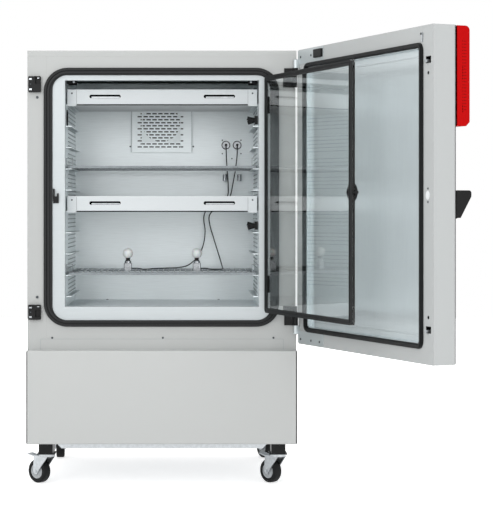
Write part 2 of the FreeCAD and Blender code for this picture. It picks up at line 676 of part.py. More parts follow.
# ---------------------------------------------------------------- light sensors and their leads
shelf_top = rail_tops[LOWER_SHELF_LEVEL] + GAP + SHELF_THICK
sensors = []
for sensor_x in SENSOR_X:
    half = SENSOR_BASE / 2
    base_z = (shelf_top, shelf_top + SENSOR_BASE_HEIGHT)
    foot = box((sensor_x - half, sensor_x + half), (SENSOR_Y - half, SENSOR_Y + half), base_z)
    foot = foot.makeFillet(5, edges_along(foot, Z_AXIS))
    globe_z = base_z[1] + 8 + GLOBE_RADIUS
    neck = rod((sensor_x, SENSOR_Y, base_z[1]), (sensor_x, SENSOR_Y, base_z[1] + 12), 8)
    globe = Part.makeSphere(GLOBE_RADIUS, Vector(sensor_x, SENSOR_Y, globe_z))
    sensors.append(fuse([foot, neck]))
    sensors.append(globe.cut(neck))
pieces["light_sensors"] = Part.makeCompound(sensors)


def lead(name, points):
    """Tube of straight runs joined by tangent arcs; prints its smallest arc and its length."""
    points = [Vector(*point) for point in points]
    edges = []
    radii = []
    start = points[0]
    for before, corner, after in zip(points, points[1:], points[2:]):
        arriving = (corner - before).normalize()
        leaving = (after - corner).normalize()
        turn = arriving.getAngle(leaving)
        reach = 0.45 * min((corner - before).Length, (after - corner).Length)
        radius = reach / math.tan(turn / 2)
        inward = (leaving - arriving).normalize()
        middle = corner + inward * (radius / math.cos(turn / 2) - radius)
        arc_start = corner - arriving * reach
        arc_end = corner + leaving * reach
        edges.append(Part.LineSegment(start, arc_start).toShape())
        edges.append(Part.Arc(arc_start, middle, arc_end).toShape())
        radii.append(radius)
        start = arc_end
    edges.append(Part.LineSegment(start, points[-1]).toShape())
    path = Part.Wire(edges)
    profile = Part.Wire(Part.makeCircle(CORD_RADIUS, points[0], points[1] - points[0]))
    tube = path.makePipeShell([profile], True, False)
    section = math.pi * CORD_RADIUS ** 2
    print(name, "length", round(path.Length, 1), "radii", [round(r) for r in radii])
    print(
        name, "volume", round(tube.Volume), "section x length", round(section * path.Length),
        tube.isValid()
    )
    return tube


for name, points in CORD_ROUTES.items():
    pieces[name] = lead(name, points)

# ---------------------------------------------------------------- strikers, door hinges, glass fittings
strikers = []
hook_room = 4.0
for (low, high), hook_foot in zip(STRIKER_SPANS, HOOK_FOOTS):
    block = slab(STRIKER_X, (-STRIKER_DEPTH, 0), (low, high), 3)
    pocket = box(
        (LATCH_X - HOOK_WIDTH / 2 - hook_room, LATCH_X + HOOK_WIDTH / 2 + hook_room),
        (-STRIKER_DEPTH - 1, -4),
        (hook_foot - hook_room, hook_foot + HOOK_HEIGHT + HOOK_TRAVEL + hook_room)
    )
    strikers.append(block.cut(pocket))
pieces["door_strikers"] = Part.makeCompound(strikers)

door_hinge = (DOOR_HINGE_X, DOOR_HINGE_Y)
brackets = []
leaves = []
door_face = -DOOR_GAP
door_right = DOOR_WIDTH / 2
door_left = -DOOR_WIDTH / 2
for (low, high), reach in ((LOWER_BRACKET, -1), (UPPER_BRACKET, 1)):
    plate = fuse([
        box((409, DOOR_HINGE_X - 10), (-5, 0), (low, high)),
        box((DOOR_HINGE_X - 14, DOOR_HINGE_X), (-9, -3), (low, high)),
        rod((*door_hinge, low), (*door_hinge, high), HINGE_BARREL),
    ])
    pin_low, pin_high = (low - 30, high) if reach < 0 else (low, high + 30)
    pin = rod((*door_hinge, pin_low), (*door_hinge, pin_high), HINGE_PIN)
    brackets.append(plate.cut(pin))
    brackets.append(pin)
    knuckle = (low - GAP - 28, low - GAP) if reach < 0 else (high + GAP, high + GAP + 28)
    plate_z = (DOOR_BOTTOM + 4, DOOR_SEAL_Z[0]) if reach < 0 else (DOOR_SEAL_Z[1], DOOR_TOP - 2)
    web_z = (plate_z[0], knuckle[1]) if reach < 0 else (knuckle[0], plate_z[1])
    leaf = fuse([
        box((door_right - 187, door_right), (door_face, door_face + 2), plate_z),
        box(
            (door_right - 10, DOOR_HINGE_X + 2), (door_face, DOOR_HINGE_Y),
            (max(web_z[0], knuckle[0]), min(web_z[1], knuckle[1]))
        ),
        rod((*door_hinge, knuckle[0]), (*door_hinge, knuckle[1]), HINGE_BARREL),
    ])
    bore = rod((*door_hinge, knuckle[0] - 1), (*door_hinge, knuckle[1] + 1), HINGE_PIN + RUNNING)
    leaves.append(leaf.cut(bore))
pieces["door_hinge_brackets"] = Part.makeCompound(brackets)

glass_hinge = (GLASS_HINGE_X, GLASS_HINGE_Y)
glass_back = SHEET - GAP - GLASS_SEAL
glass_y = (glass_back - GLASS_THICK, glass_back)
BARREL = 4.0
PIN = 1.6
fittings = []
glass_leaves = []
for low, high in GLASS_HINGE_SPANS:
    middle = (low + high) / 2
    pin = rod((*glass_hinge, low), (*glass_hinge, high), PIN)
    bracket = fuse([
        box((GLASS_HINGE_X + 4, SEAL_INNER_WIDTH / 2 - 1), (-1.5, SHEET), (low, high)),
        box((GLASS_HINGE_X, GLASS_HINGE_X + 8), (-5.5, -1.5), (low, middle)),
        rod((*glass_hinge, low), (*glass_hinge, middle), BARREL),
    ])
    fittings.append(fuse([bracket, pin]))
    leaf = fuse([
        box((GLASS_X[1] - 22, GLASS_X[1] - 2), (glass_y[0] - 2, glass_y[0]), (low, high)),
        box((GLASS_X[1] - 3, GLASS_HINGE_X), (glass_y[0] - 2, glass_y[0] + 1.2), (middle + GAP, high)),
        rod((*glass_hinge, middle + GAP), (*glass_hinge, high), BARREL),
    ])
    pane_clear = box((GLASS_X[0], GLASS_X[1] + 0.1), (glass_y[0], glass_y[1]), (low - 1, high + 1))
    glass_leaves.append(
        leaf.cut([pane_clear, rod((*glass_hinge, low - 1), (*glass_hinge, high + 1), PIN + RUNNING)])
    )

PEG_X = KNOB_X - 33.5
catch_x = (-364.0, -345.0)
catch = box(catch_x, (-2, SHEET), (949, 972))
prongs = [
    box((catch_x[0], PEG_X - 4), (-8, SHEET), (960, 997)),
    box((PEG_X + 4, catch_x[1]), (-8, SHEET), (960, 982)),
    box(catch_x, (-8, SHEET), (960, 972)),
]
fittings.append(fuse([catch] + prongs))
pieces["glass_door_fittings"] = Part.makeCompound(fittings)

# ---------------------------------------------------------------- outer door, laid out closed
door_x = (door_left, door_right)
door_y = (-DOOR_GAP - DOOR_THICK, -DOOR_GAP)
door_z = (DOOR_BOTTOM, DOOR_TOP)
shell = box(door_x, door_y, door_z)
shell = shell.makeFillet(DOOR_EDGE_RADIUS, edges_along(shell, Z_AXIS, lambda p: p.y < door_y[0] + 1))
shell = shell.makeFillet(3, edges_along(shell, X_AXIS, lambda p: p.y < door_y[0] + 1))
shell_room = box(
    (door_x[0] + SHEET, door_x[1] - SHEET), (door_y[0] + SHEET, door_y[1] - SHEET),
    (door_z[0] + SHEET, door_z[1] - SHEET)
)
hole_x = (DOOR_SEAL_X[0] + DOOR_SEAL_BAND / 2, DOOR_SEAL_X[1] - DOOR_SEAL_BAND / 2)
hole_z = (DOOR_SEAL_Z[0] + DOOR_SEAL_BAND / 2, DOOR_SEAL_Z[1] - DOOR_SEAL_BAND / 2)
hole_corner = (DOOR_SEAL_CORNER + PAN_CORNER) / 2
door_cuts = [shell_room, slab(hole_x, (door_y[1] - 5, door_y[1] + 5), hole_z, hole_corner)]
slot_margin = 2.0
for hook_foot in HOOK_FOOTS:
    slot_z = (hook_foot - slot_margin, hook_foot + HOOK_HEIGHT + HOOK_TRAVEL + slot_margin)
    door_cuts.append(box(
        (LATCH_X - LATCH_SLOT / 2, LATCH_X + LATCH_SLOT / 2), (door_y[1] - 5, door_y[1] + 5), slot_z
    ))
bar_y = (door_y[1] - 26, door_y[1] - 20)
guides = []
for z in (700, 1240):
    guide = box((LATCH_X - 11, LATCH_X + 11), (bar_y[0] - 4, door_y[1] - SHEET), (z, z + 30))
    bar_room = box(
        (LATCH_X - 6 - GAP, LATCH_X + 6 + GAP), (bar_y[0] - GAP, bar_y[1] + GAP), (z - 1, z + 31)
    )
    guides.append(guide.cut(bar_room))
door_pieces = {"door_shell": fuse([shell.cut(door_cuts)] + guides)}

pan_lap = 8.0
flange = box(
    (hole_x[0] - pan_lap, hole_x[1] + pan_lap), (door_y[1] - 2 * SHEET, door_y[1] - SHEET),
    (hole_z[0] - pan_lap, hole_z[1] + pan_lap)
)
pan_x = (DOOR_SEAL_X[0] + DOOR_SEAL_BAND + 2, DOOR_SEAL_X[1] - DOOR_SEAL_BAND - 2)
pan_z = (DOOR_SEAL_Z[0] + DOOR_SEAL_BAND + 2, DOOR_SEAL_Z[1] - DOOR_SEAL_BAND - 2)
pan_floor = door_y[1] - SHEET - PAN_DEPTH
pan = slab(
    (pan_x[0] - SHEET, pan_x[1] + SHEET), (pan_floor - SHEET, door_y[1] - SHEET),
    (pan_z[0] - SHEET, pan_z[1] + SHEET), PAN_CORNER + SHEET
)
pan_room = slab(pan_x, (pan_floor, door_y[1] + 5), pan_z, PAN_CORNER)
door_pieces["door_inner_panel"] = fuse([flange, pan]).cut(pan_room)

seal_face = -SEAL_HEIGHT - GAP
seal_steps = []
for inset, depth in ((0.0, door_y[1] + 4), (1.5, door_y[1] + 7), (4.0, seal_face)):
    step = slab(
        (DOOR_SEAL_X[0] + inset, DOOR_SEAL_X[1] - inset), (door_y[1], depth),
        (DOOR_SEAL_Z[0] + inset, DOOR_SEAL_Z[1] - inset), DOOR_SEAL_CORNER - inset
    )
    within = DOOR_SEAL_BAND - inset
    step_room = slab(
        (DOOR_SEAL_X[0] + within, DOOR_SEAL_X[1] - within), (door_y[1] - 1, depth + 1),
        (DOOR_SEAL_Z[0] + within, DOOR_SEAL_Z[1] - within), PAN_CORNER + inset
    )
    seal_steps.append(step.cut(step_room))
door_pieces["door_gasket"] = fuse(seal_steps)
door_pieces["door_hinge_leaves"] = Part.makeCompound(leaves)

housing_x = (door_left, door_left + HOUSING_WIDTH)
housing_y = (door_y[0] - HOUSING_DEPTH, door_y[0])
housing = box(housing_x, housing_y, HOUSING_Z)
housing = housing.makeFillet(
    14, edges_along(housing, X_AXIS, lambda p: p.y < housing_y[0] + 1 and p.z > HOUSING_Z[1] - 1)
)
housing = housing.makeChamfer(
    12, edges_along(housing, X_AXIS, lambda p: p.y < housing_y[0] + 1 and p.z < HOUSING_Z[0] + 1)
)
housing_room = box(
    (housing_x[0] + HOUSING_WALL, housing_x[1] - HOUSING_WALL),
    (housing_y[0] + HOUSING_WALL, housing_y[1] + 1),
    (HOUSING_Z[0] + HOUSING_WALL, HOUSING_Z[1] - HOUSING_WALL)
)
housing_room = housing_room.makeFillet(
    12,
    edges_along(housing_room, X_AXIS, lambda p: p.y < housing_y[0] + 5 and p.z > HOUSING_Z[1] - 5)
)
housing_room = housing_room.makeChamfer(
    11,
    edges_along(housing_room, X_AXIS, lambda p: p.y < housing_y[0] + 5 and p.z < HOUSING_Z[0] + 5)
)
vents = []
for z in (1305, 1313, 1321, 1329, 1337, 1210, 1218, 1226):
    vents.append(
        rod((housing_x[0] - 1, housing_y[1] - 18, z), (housing_x[0] + 6, housing_y[1] - 18, z), 1.6)
    )
screen_z = (HOUSING_Z[0] + 120, HOUSING_Z[1] - 40)
screen_recess = box(
    (housing_x[0] + 30, housing_x[1] - 30), (housing_y[0] - 1, housing_y[0] + 1), screen_z
)
door_pieces["control_housing"] = housing.cut([housing_room, screen_recess] + vents)

# handle: base with a pin, and a wedge-shaped paddle that turns on it; distances are from the door's face
BASE_THICK = 4.0
handle_middle = sum(HANDLE_X) / 2
pin_reach = 9.0
pin_rise = 914.0
pin_y = door_y[0] - pin_reach
base_plate = slab(HANDLE_X, (door_y[0] - BASE_THICK, door_y[0]), (901, HANDLE_TOP), 6)
lugs = []
for side in (-1, 1):
    lug_x = (handle_middle + side * 40 - 4, handle_middle + side * 40 + 4)
    lugs.append(box(lug_x, (pin_y, door_y[0] - BASE_THICK), (pin_rise - 4, pin_rise + 4)))
    lugs.append(rod((lug_x[0], pin_y, pin_rise), (lug_x[1], pin_y, pin_rise), 4.6))
handle_pin = rod((HANDLE_X[0], pin_y, pin_rise), (HANDLE_X[1], pin_y, pin_rise), HANDLE_PIN)
door_pieces["door_handle_base"] = fuse([base_plate, handle_pin] + lugs)

wedge = prism(HANDLE_X, [(door_y[0] - reach, z) for reach, z in (
    (4.4, HANDLE_TOP), (HANDLE_REACH, HANDLE_TOP), (
        HANDLE_REACH, HANDLE_TOP - 18
    ), (14, 903), (11.5, 903), (4.4, pin_rise),
)])
wedge = wedge.makeFillet(8, edges_along(wedge, X_AXIS, lambda p: p.y < door_y[0] - HANDLE_REACH + 1))
finger_room = prism((HANDLE_X[0] + 4, HANDLE_X[1] - 4), [(door_y[0] - reach, z) for reach, z in (
    (0, HANDLE_TOP + 20), (
        HANDLE_REACH - 14, HANDLE_TOP + 20
    ), (HANDLE_REACH - 14, 946.9), (11.4, 904.5), (0, 904.5),
)])
handle_bore = rod(
    (HANDLE_X[0] - 1, pin_y, pin_rise), (HANDLE_X[1] + 1, pin_y, pin_rise), HANDLE_PIN + RUNNING
)
door_pieces["door_handle"] = wedge.cut([finger_room, handle_bore])

bar = [box((LATCH_X - 6, LATCH_X + 6), bar_y, (HOOK_FOOTS[0] - 3, HOOK_FOOTS[1] + HOOK_HEIGHT))]
for hook_foot in HOOK_FOOTS:
    bar.append(box(
        (LATCH_X - HOOK_WIDTH / 2, LATCH_X + HOOK_WIDTH / 2),
        (bar_y[0], -STRIKER_DEPTH + 5), (hook_foot, hook_foot + HOOK_HEIGHT)
    ))
door_pieces["lock_bar"] = fuse(bar)

door_places = {
    "door_handle_pull": (handle_middle, pin_y, pin_rise),
    "lock_bar_slide": (LATCH_X, sum(bar_y) / 2, HOOK_FOOTS[0]),
}

# ---------------------------------------------------------------- glass door, laid out closed
pane = slab(GLASS_X, glass_y, GLASS_Z, GLASS_CORNER)
knob_hole = rod(
    (KNOB_X, glass_y[0] - 1, KNOB_Z), (KNOB_X, glass_y[1] + 1, KNOB_Z), KNOB_SHAFT + RUNNING
)
glass_pieces = {"glass_pane": pane.cut(knob_hole)}
band = GLASS_SEAL_BAND
glass_seal_y = (glass_y[1], glass_y[1] + GLASS_SEAL)
glass_seal = slab(
    (GLASS_X[0] + 1, GLASS_X[1] - 1), glass_seal_y, (GLASS_Z[0] + 1, GLASS_Z[1] - 1), GLASS_CORNER
)
glass_seal_room = slab(
    (GLASS_X[0] + 1 + band, GLASS_X[1] - 1 - band), (glass_seal_y[0] - 1, glass_seal_y[1] + 1),
    (GLASS_Z[0] + 1 + band, GLASS_Z[1] - 1 - band), 4
)
groove_x = (GLASS_X[0] + 6.5, GLASS_X[1] - 6.5)
groove_z = (GLASS_Z[0] + 6.5, GLASS_Z[1] - 6.5)
groove_y = (glass_seal_y[1] - 2.5, glass_seal_y[1] + 1)
groove = box(groove_x, groove_y, groove_z).cut(
    box(
        (groove_x[0] + 4, groove_x[1] - 4), (groove_y[0] - 1, groove_y[1] + 1),
        (groove_z[0] + 4, groove_z[1] - 4)
    )
)
glass_pieces["glass_gasket"] = glass_seal.cut([glass_seal_room, groove])
glass_pieces["glass_hinge_leaves"] = Part.makeCompound(glass_leaves)

knob_y = (door_face + 0.8, glass_y[0] - 0.5)
disc = rod((KNOB_X, knob_y[0], KNOB_Z), (KNOB_X, knob_y[1], KNOB_Z), KNOB_RADIUS)
disc = disc.makeFillet(2.5, [disc.Edges[2]])
glass_pieces["glass_latch_knob"] = fuse([
    disc,
    rod((KNOB_X, knob_y[0] + 1, KNOB_Z), (KNOB_X, glass_y[1] + 3, KNOB_Z), KNOB_SHAFT),
    box((PEG_X - 3, KNOB_X), (knob_y[1] - 5, knob_y[1]), (KNOB_Z - 4, KNOB_Z + 4)),
    rod((PEG_X, knob_y[1] - 5, KNOB_Z), (PEG_X, -2.5, KNOB_Z), 3),
])
glass_places = {"glass_latch_turn": (KNOB_X, knob_y[1], KNOB_Z)}

# ---------------------------------------------------------------- doors swung open
joint_places["outer_door_swing"] = (*door_hinge, sum(door_z) / 2)
joint_places["glass_door_swing"] = (*glass_hinge, sum(GLASS_Z) / 2)
for laid_out, places, hinge, angle in (
    (door_pieces, door_places, door_hinge, DOOR_OPEN), (glass_pieces, glass_places, glass_hinge, GLASS_OPEN)
):
    swung = Rotation(Z_AXIS, angle)
    for name, shape in laid_out.items():
        pieces[name] = turned(shape, hinge, angle)
    for name, place in places.items():
        pivot = Vector(hinge[0], hinge[1], 0)
        joint_places[name] = tuple(pivot + swung.multVec(Vector(*place) - pivot))

# ---------------------------------------------------------------- casters
MOUNT_PLATE = 3.0
mounts = []
for x in (-CASTER_X, CASTER_X):
    for y in (CASTER_FRONT_Y, CASTER_REAR_Y):
        block_y = (y - 50, y + 50)
        mounts.append(box((x - 23.5, x + 23.5), block_y, (CASTER_HEIGHT, BODY_BOTTOM)))
        plate = box((x - 30, x + 30), (y - 34, y + 34), (CASTER_HEIGHT - MOUNT_PLATE, CASTER_HEIGHT))
        kingpin = rod((x, y, CASTER_HEIGHT - 1), (x, y, CASTER_HEIGHT - 20), KINGPIN)
        mounts.append(fuse([plate, kingpin]))
pieces["caster_mounts"] = Part.makeCompound(mounts)

LEG_THICK = 3.0
leg_inner = WHEEL_WIDTH / 2 + 1.5
fork_top = CASTER_HEIGHT - MOUNT_PLATE - GAP
head_z = (fork_top - 10, fork_top)
PEDAL_PIVOT = (30.0, 87.5)
ROOF_END = 22.0


def caster_parts():
    """Fork, wheel and brake pedal of a caster whose wheel trails along +X, axle along Y."""
    cap = Part.makeCylinder(27, head_z[1] - head_z[0], Vector(0, 0, head_z[0]))
    cap = cap.makeFillet(3, [cap.Edges[2]])
    legs = []
    for side in (-1, 1):
        leg_y = span(side * leg_inner, side * (leg_inner + LEG_THICK))
        outline = [
            (-20, head_z[0] + 2), (42, head_z[0] + 2), (WHEEL_TRAIL + 11, WHEEL_RADIUS),
            (WHEEL_TRAIL + 6, WHEEL_RADIUS - 9)
        ]
        outline += [(WHEEL_TRAIL - 6, WHEEL_RADIUS - 9), (WHEEL_TRAIL - 12, WHEEL_RADIUS)]
        points = [Vector(x, leg_y[0], z) for x, z in outline]
        legs.append(
            Part.Face(Part.makePolygon(points + points[:1])).extrude(Vector(0, leg_y[1] - leg_y[0], 0))
        )
    roof = box((-20, ROOF_END), (-leg_inner, leg_inner), (head_z[0], head_z[0] + 2))
    axle = rod(
        (WHEEL_TRAIL, -leg_inner - LEG_THICK - 3, WHEEL_RADIUS),
        (WHEEL_TRAIL, leg_inner + LEG_THICK + 3, WHEEL_RADIUS), AXLE_RADIUS
    )
    pivot_bore = rod(
        (PEDAL_PIVOT[0], -40, PEDAL_PIVOT[1]), (PEDAL_PIVOT[0], 40, PEDAL_PIVOT[1]), 2 + RUNNING
    )
    kingpin_bore = Part.makeCylinder(KINGPIN + RUNNING, 40, Vector(0, 0, head_z[0] - 10))
    fork = fuse([cap, roof] + legs + [axle]).cut([kingpin_bore, pivot_bore])

    half = WHEEL_WIDTH / 2
    tyre = rod((WHEEL_TRAIL, -half, WHEEL_RADIUS), (WHEEL_TRAIL, half, WHEEL_RADIUS), WHEEL_RADIUS)
    tyre = tyre.makeFillet(6, [tyre.Edges[0], tyre.Edges[2]])
    hub_room = rod(
        (WHEEL_TRAIL, -half - 1, WHEEL_RADIUS), (WHEEL_TRAIL, half + 1, WHEEL_RADIUS), HUB_RADIUS
    )
    hub = rod((WHEEL_TRAIL, -half, WHEEL_RADIUS), (WHEEL_TRAIL, half, WHEEL_RADIUS), HUB_RADIUS)
    axle_room = rod(
        (WHEEL_TRAIL, -half - 1, WHEEL_RADIUS), (WHEEL_TRAIL, half + 1, WHEEL_RADIUS),
        AXLE_RADIUS + RUNNING
    )
    wheel = Part.makeCompound([tyre.cut(hub_room), hub.cut(axle_room)])

    x, z = PEDAL_PIVOT
    reach = leg_inner + LEG_THICK
    tab_outline = [
        (x - 2, z + 1), (x + 12, z - 0.5), (x + 50, z + 7), (x + 50, z + 10), (x + 12, z + 2.5),
        (x - 2, z + 3.5)
    ]
    points = [Vector(tab_x, -14, tab_z) for tab_x, tab_z in tab_outline]
    tab = Part.Face(Part.makePolygon(points + points[:1])).extrude(Vector(0, 28, 0))
    pedal = fuse([tab, rod((x, -14, z), (x, 14, z), 3), rod((x, -reach, z), (x, reach, z), 2)])
    return fork, wheel, pedal


caster_spots = {
    "front_left": (-CASTER_X, CASTER_FRONT_Y),
    "front_right": (CASTER_X, CASTER_FRONT_Y),
    "rear_left": (-CASTER_X, CASTER_REAR_Y),
    "rear_right": (CASTER_X, CASTER_REAR_Y),
}
for corner, (x, y) in caster_spots.items():
    heading = Rotation(Z_AXIS, CASTER_HEADINGS[corner])
    placed = FreeCAD.Placement(Vector(x, y, 0), heading)
    names = ["caster_fork_" + corner, "caster_wheel_" + corner, "brake_pedal_" + corner]
    for name, shape in zip(names, caster_parts()):
        if name.startswith("brake") and corner.startswith("rear"):
            continue
        shape.Placement = placed.multiply(shape.Placement)
        pieces[name] = shape
    joint_places["caster_swivel_" + corner] = (x, y, head_z[0])
    joint_places["wheel_spin_" + corner] = tuple(placed.multVec(Vector(WHEEL_TRAIL, 0, WHEEL_RADIUS)))
    joint_places["brake_press_" + corner] = tuple(
        placed.multVec(Vector(PEDAL_PIVOT[0], 0, PEDAL_PIVOT[1]))
    )

# ---------------------------------------------------------------- small fixings on the cabinet
screws = [screw((x, 0, 499), Vector(0, -1, 0)) for x in (-367, 3, 373)]
screws += [screw((-417, 0, z), Vector(0, -1, 0), 4.5, 2.5) for z in (635, 1303)]
screws += [
    screw((x, BAFFLE_Y, 1158), Vector(0, -1, 0), 3, 2)
    for x in (GRILLE_X[0] - 6, GRILLE_X[1] + 6)
]
screws += [
    screw((x, BAFFLE_Y, z), Vector(0, -1, 0), 2.5, 1.5)
    for x, z in ((211, 1181), (279, 1181), (211, 1132), (279, 1132), (246, 1114))
]
screws += [screw((x, BAFFLE_Y - 12, CHAMBER_FLOOR), Z_AXIS, 4, 2) for x in (-208, 197)]
pieces["panel_screws"] = Part.makeCompound(screws)

# ---------------------------------------------------------------- moved over the origin and written
low = [1e9, 1e9]
high = [-1e9, -1e9]
for name, shape in pieces.items():
    if name not in CORD_ROUTES:
        bounds = shape.BoundBox
        low = [min(low[0], bounds.XMin), min(low[1], bounds.YMin)]
        high = [max(high[0], bounds.XMax), max(high[1], bounds.YMax)]
shift = Vector(-(low[0] + high[0]) / 2, -(low[1] + high[1]) / 2, 0)

os.makedirs("parts", exist_ok=True)
for name, shape in pieces.items():
    shape.translate(shift)
    shape.exportStep("parts/" + name + ".step")

print("nodes", len(pieces), "shift", [round(v, 3) for v in shift])
for name, place in joint_places.items():
    print("joint", name, [round(v, 3) for v in Vector(*place) + shift])
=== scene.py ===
import json
import math
import bmesh
import bpy
from mathutils import Matrix, Vector


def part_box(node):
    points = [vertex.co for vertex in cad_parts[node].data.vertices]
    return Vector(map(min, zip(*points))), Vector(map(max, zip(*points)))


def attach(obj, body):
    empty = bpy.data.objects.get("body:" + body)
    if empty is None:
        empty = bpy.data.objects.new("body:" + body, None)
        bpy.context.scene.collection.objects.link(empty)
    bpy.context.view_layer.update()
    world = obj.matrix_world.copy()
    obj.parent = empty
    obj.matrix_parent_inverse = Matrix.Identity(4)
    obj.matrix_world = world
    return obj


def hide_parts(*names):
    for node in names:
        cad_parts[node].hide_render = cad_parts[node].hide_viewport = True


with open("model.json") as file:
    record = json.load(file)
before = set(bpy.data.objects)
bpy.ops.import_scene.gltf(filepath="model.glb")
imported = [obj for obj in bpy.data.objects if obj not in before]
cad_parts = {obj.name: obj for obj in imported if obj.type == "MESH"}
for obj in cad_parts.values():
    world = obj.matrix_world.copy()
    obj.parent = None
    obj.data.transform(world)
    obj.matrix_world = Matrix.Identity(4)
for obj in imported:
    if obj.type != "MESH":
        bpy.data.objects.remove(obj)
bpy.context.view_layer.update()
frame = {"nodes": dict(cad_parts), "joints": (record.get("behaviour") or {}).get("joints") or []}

# Places below are in millimetres from the cabinet: x from its middle, y from its front, z from the floor.
top_low, top_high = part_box("top_panel")
CENTRE_X = (top_low.x + top_high.x) / 2
FRONT_Y = top_low.y
JOINTS = {joint["name"]: joint for joint in frame["joints"]}


def at(x, y, z):
    """A place on the cabinet, in the row frame."""
    return Vector((CENTRE_X + x / 1000, FRONT_Y + y / 1000, z / 1000))


def opened(joint_name, angle):
    """The turn that takes a place on a closed door to the same place on the open door."""
    pivot = Vector(JOINTS[joint_name]["pos_m"])
    turn = Matrix.Rotation(math.radians(angle), 4, "Z")
    return Matrix.Translation(pivot) @ turn @ Matrix.Translation(-pivot)


# ---------------------------------------------------------------- camera
camera_data = bpy.data.cameras.new("camera")
camera_data.sensor_width = 36
camera_data.lens = 122.3
camera_data.shift_x = 0.1057
camera_data.shift_y = -0.0842
camera_data.clip_end = 60
camera = bpy.data.objects.new("camera", camera_data)
bpy.context.scene.collection.objects.link(camera)
camera.location = at(104, -5750, 925)
camera.rotation_euler = (math.radians(90), 0, 0)
bpy.context.scene.camera = camera
bpy.context.scene.view_settings.view_transform = "Standard"


# ---------------------------------------------------------------- materials
def linear(red, green, blue):
    """Screen colour 0-255 as linear light."""
    parts = []
    for part in (red, green, blue):
        part = part / 255
        parts.append(part / 12.92 if part <= 0.04045 else ((part + 0.055) / 1.055) ** 2.4)
    return parts


def material(name, colour, rough, metal=0.0, grain=40.0, stretch=(1, 1, 1), spread=0.04,
             rough_spread=0.06, bump=0.1, depth=0.0003, edge=0.0, **sockets):
    """A finish with a fine grain in its colour, its roughness and its surface."""
    made = bpy.data.materials.new(name)
    made.use_nodes = True
    tree = made.node_tree
    shader = tree.nodes["Principled BSDF"]
    place = tree.nodes.new("ShaderNodeTexCoord")
    mapping = tree.nodes.new("ShaderNodeMapping")
    mapping.inputs["Scale"].default_value = stretch
    tree.links.new(place.outputs["Object"], mapping.inputs["Vector"])
    noise = tree.nodes.new("ShaderNodeTexNoise")
    noise.inputs["Scale"].default_value = grain
    noise.inputs["Detail"].default_value = 3
    tree.links.new(mapping.outputs["Vector"], noise.inputs["Vector"])
    ramp = tree.nodes.new("ShaderNodeValToRGB")
    ramp.color_ramp.elements[0].position = 0.3
    ramp.color_ramp.elements[1].position = 0.7
    ramp.color_ramp.elements[0].color = [part * (1 - spread) for part in colour] + [1]
    ramp.color_ramp.elements[1].color = [min(part * (1 + spread), 1) for part in colour] + [1]
    tree.links.new(noise.outputs["Fac"], ramp.inputs["Fac"])
    tree.links.new(ramp.outputs["Color"], shader.inputs["Base Color"])
    spans = tree.nodes.new("ShaderNodeMapRange")
    spans.inputs["To Min"].default_value = max(rough - rough_spread, 0.01)
    spans.inputs["To Max"].default_value = rough + rough_spread
    tree.links.new(noise.outputs["Fac"], spans.inputs["Value"])
    tree.links.new(spans.outputs["Result"], shader.inputs["Roughness"])
    relief = tree.nodes.new("ShaderNodeBump")
    relief.inputs["Strength"].default_value = bump
    relief.inputs["Distance"].default_value = depth
    tree.links.new(noise.outputs["Fac"], relief.inputs["Height"])
    tree.links.new(relief.outputs["Normal"], shader.inputs["Normal"])
    if edge:
        rounded = tree.nodes.new("ShaderNodeBevel")
        rounded.samples = 4
        rounded.inputs["Radius"].default_value = edge
        tree.links.new(rounded.outputs["Normal"], relief.inputs["Normal"])
    shader.inputs["Metallic"].default_value = metal
    for socket, value in sockets.items():
        shader.inputs[socket.replace("_", " ")].default_value = value
    return made


BRUSHED_ACROSS = (1.5, 40, 90)
BRUSHED_SOFT = (6, 6, 0.8)
body_paint = material("body_paint", linear(176, 178, 177), 0.45, grain=700, spread=0.015, depth=0.0001, edge=0.0012,
                      Specular_IOR_Level=0.3)
cover_paint = material("cover_paint", linear(184, 186, 185), 0.48, grain=600, spread=0.015, depth=0.0001, edge=0.0012,
                       Specular_IOR_Level=0.3)
door_paint = material("door_paint", linear(179, 182, 182), 0.45, grain=700, spread=0.015, depth=0.0001, edge=0.0012,
                      Specular_IOR_Level=0.3)
steel = material("brushed_steel", linear(190, 197, 199), 0.36, 0.6, grain=12, stretch=BRUSHED_ACROSS, spread=0.05, bump=0.06)
steel_wall = material("steel_wall", linear(228, 235, 237), 0.36, 0.45, grain=12, stretch=BRUSHED_ACROSS, spread=0.05, bump=0.06)
steel_door = material("steel_door", linear(212, 221, 224), 0.24, 0.45, grain=14, stretch=BRUSHED_SOFT, spread=0.012,
                      rough_spread=0.02, bump=0.01)
steel_trim = material("steel_trim", linear(182, 188, 190), 0.42, 0.25, grain=14, stretch=BRUSHED_ACROSS, spread=0.03, bump=0.04)
zinc = material("zinc_plate", linear(180, 184, 187), 0.33, 0.95, grain=90, spread=0.14, rough_spread=0.12)
chrome = material("chrome", linear(170, 174, 177), 0.18, 1.0, grain=60, spread=0.08, bump=0.03)
wire = material("shelf_wire", linear(122, 128, 131), 0.30, 0.9, grain=80, spread=0.10)
screw_dark = material("screw_dark", linear(70, 74, 77), 0.35, 0.8, grain=200, spread=0.2)
rubber = material("seal_rubber", linear(14, 16, 17), 0.55, grain=120, spread=0.2, Specular_IOR_Level=0.32)
black_plastic = material("black_plastic", linear(14, 15, 16), 0.42, grain=500, spread=0.15, edge=0.001, Specular_IOR_Level=0.2)
handle_black = material("handle_black", linear(10, 11, 12), 0.3, grain=400, spread=0.15, edge=0.002, Specular_IOR_Level=0.22)
red_plastic = material("red_plastic", linear(180, 0, 1), 0.5, grain=500, spread=0.03, depth=0.0002, edge=0.0015,
                       Specular_IOR_Level=0.08)
white_paint = material("lamp_tray_paint", linear(198, 203, 205), 0.38, grain=400, spread=0.02, depth=0.0001, edge=0.0006)
